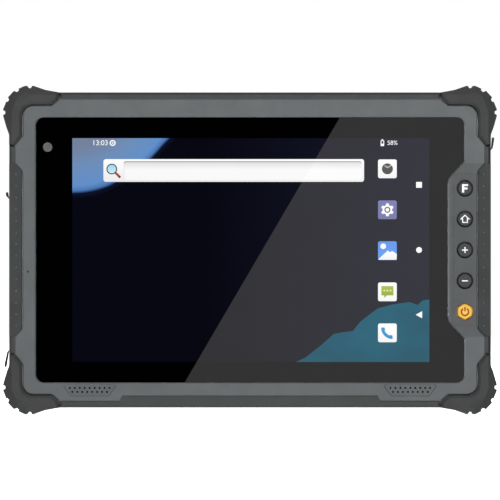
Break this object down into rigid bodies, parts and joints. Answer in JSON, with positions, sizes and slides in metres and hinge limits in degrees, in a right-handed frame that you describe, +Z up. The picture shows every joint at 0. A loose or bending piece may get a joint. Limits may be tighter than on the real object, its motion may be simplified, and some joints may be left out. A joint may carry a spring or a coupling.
{
  "type": "rugged tablet data collector",
  "caption": "Rugged handheld tablet for field data, with rubber corner guards, side grips, front keys and port covers.",
  "frame": {"origin": "under the middle of the tablet, on the plane that its lower corner guards stand on", "axes": "+X to the right of someone who looks at the screen, +Y into the tablet from the screen to the back, +Z up"},
  "size_m": [0.2372, 0.024, 0.1577],
  "materials": {
    "bezel_plastic": "fine satin texture",
    "case_plastic": "fine matte texture",
    "guard_rubber": "matte moulded rubber",
    "grip_rubber": "matte moulded rubber",
    "cover_rubber": "matte rubber",
    "cover_glass": "polished",
    "camera_glass": "polished",
    "display": "lit screen",
    "key_plastic": "satin",
    "power_key_plastic": "satin amber",
    "seal_rubber": "soft foam and rubber",
    "battery_plastic": "fine matte texture",
    "latch_plastic": "satin",
    "magnesium": "die-cast",
    "circuit_board": "solder mask",
    "shield_steel": "bright sheet",
    "copper": "rolled copper",
    "screw_steel": "black zinc",
    "brass": "machined",
    "socket_steel": "bright sheet",
    "black_plastic": "moulded",
    "ceramic": "fired"
  },
  "bodies": {
    "tablet": {"audio_socket": "black_plastic", "battery_connector": "black_plastic", "battery_pack": "battery_plastic", "board_connectors": "black_plastic", "board_shields": "shield_steel", "card_tray": "socket_steel", "case_screws": "screw_steel", "case_seal": "seal_rubber", "chassis_plate": "magnesium", "corner_guard_bottom_left": "guard_rubber", "corner_guard_bottom_right": "guard_rubber", "corner_guard_top_left": "guard_rubber", "corner_guard_top_right": "guard_rubber", "cover_glass": "cover_glass", "display_foam": "seal_rubber", "display_panel": "display", "dock_block": "black_plastic", "dock_pins": "brass", "flash": "camera_glass", "front_bezel": "bezel_plastic", "front_camera": "black_plastic", "glass_seal": "seal_rubber", "guard_screws": "screw_steel", "heat_spreader": "copper", "inner_screws": "screw_steel", "key_board": "circuit_board", "key_domes": "shield_steel", "latch_spring_left": "shield_steel", "latch_spring_right": "shield_steel", "main_board": "circuit_board", "microphone": "black_plastic", "middle_frame": "case_plastic", "port_board_left": "circuit_board", "port_board_right": "circuit_board", "port_cover_pins": "screw_steel", "power_socket": "black_plastic", "radio_antenna": "circuit_board", "rear_camera": "black_plastic", "rear_camera_window": "camera_glass", "rear_cover": "case_plastic", "satellite_antenna": "ceramic", "side_grip_left": "grip_rubber", "side_grip_right": "grip_rubber", "speaker_left": "black_plastic", "speaker_meshes": "shield_steel", "speaker_right": "black_plastic", "strap_inserts": "brass", "usb_a_socket": "socket_steel", "usb_c_socket": "socket_steel", "vibration_motor": "shield_steel"},
    "key_function": {"key_function": "key_plastic"},
    "key_home": {"key_home": "key_plastic"},
    "key_plus": {"key_plus": "key_plastic"},
    "key_minus": {"key_minus": "key_plastic"},
    "key_power": {"key_power": "power_key_plastic"},
    "battery_latch_left": {"battery_latch_left": "latch_plastic"},
    "battery_latch_right": {"battery_latch_right": "latch_plastic"},
    "port_cover_data": {"port_cover_data": "cover_rubber"},
    "port_cover_power": {"port_cover_power": "cover_rubber"},
    "port_cover_card": {"port_cover_card": "cover_rubber"}
  },
  "joints": [
    {"name": "key_function_press", "type": "slide", "parent": "tablet", "child": "key_function", "axis": [0, 1, 0], "range_m": [0, 0.0004], "stiffness_N_per_m": 1500, "springref_m": -0.0006},
    {"name": "key_home_press", "type": "slide", "parent": "tablet", "child": "key_home", "axis": [0, 1, 0], "range_m": [0, 0.0004], "stiffness_N_per_m": 1500, "springref_m": -0.0006},
    {"name": "key_plus_press", "type": "slide", "parent": "tablet", "child": "key_plus", "axis": [0, 1, 0], "range_m": [0, 0.0004], "stiffness_N_per_m": 1500, "springref_m": -0.0006},
    {"name": "key_minus_press", "type": "slide", "parent": "tablet", "child": "key_minus", "axis": [0, 1, 0], "range_m": [0, 0.0004], "stiffness_N_per_m": 1500, "springref_m": -0.0006},
    {"name": "key_power_press", "type": "slide", "parent": "tablet", "child": "key_power", "axis": [0, 1, 0], "range_m": [0, 0.0004], "stiffness_N_per_m": 1500, "springref_m": -0.0006},
    {"name": "battery_latch_left_slide", "type": "slide", "parent": "tablet", "child": "battery_latch_left", "axis": [0, 0, 1], "range_m": [0, 0.004], "stiffness_N_per_m": 400, "springref_m": -0.003, "deforming": ["latch_spring_left"]},
    {"name": "battery_latch_right_slide", "type": "slide", "parent": "tablet", "child": "battery_latch_right", "axis": [0, 0, 1], "range_m": [0, 0.004], "stiffness_N_per_m": 400, "springref_m": -0.003, "deforming": ["latch_spring_right"]},
    {"name": "port_cover_data_hinge", "type": "hinge", "parent": "tablet", "child": "port_cover_data", "pos_m": [-0.11435, 0.0043, 0.07085], "axis": [0, -1, 0], "range_deg": [0, 90]},
    {"name": "port_cover_power_hinge", "type": "hinge", "parent": "tablet", "child": "port_cover_power", "pos_m": [-0.11435, 0.0043, 0.06285], "axis": [0, 1, 0], "range_deg": [0, 90]},
    {"name": "port_cover_card_hinge", "type": "hinge", "parent": "tablet", "child": "port_cover_card", "pos_m": [0.11435, 0.0043, 0.09485], "axis": [0, 1, 0], "range_deg": [0, 90]}
  ]
}
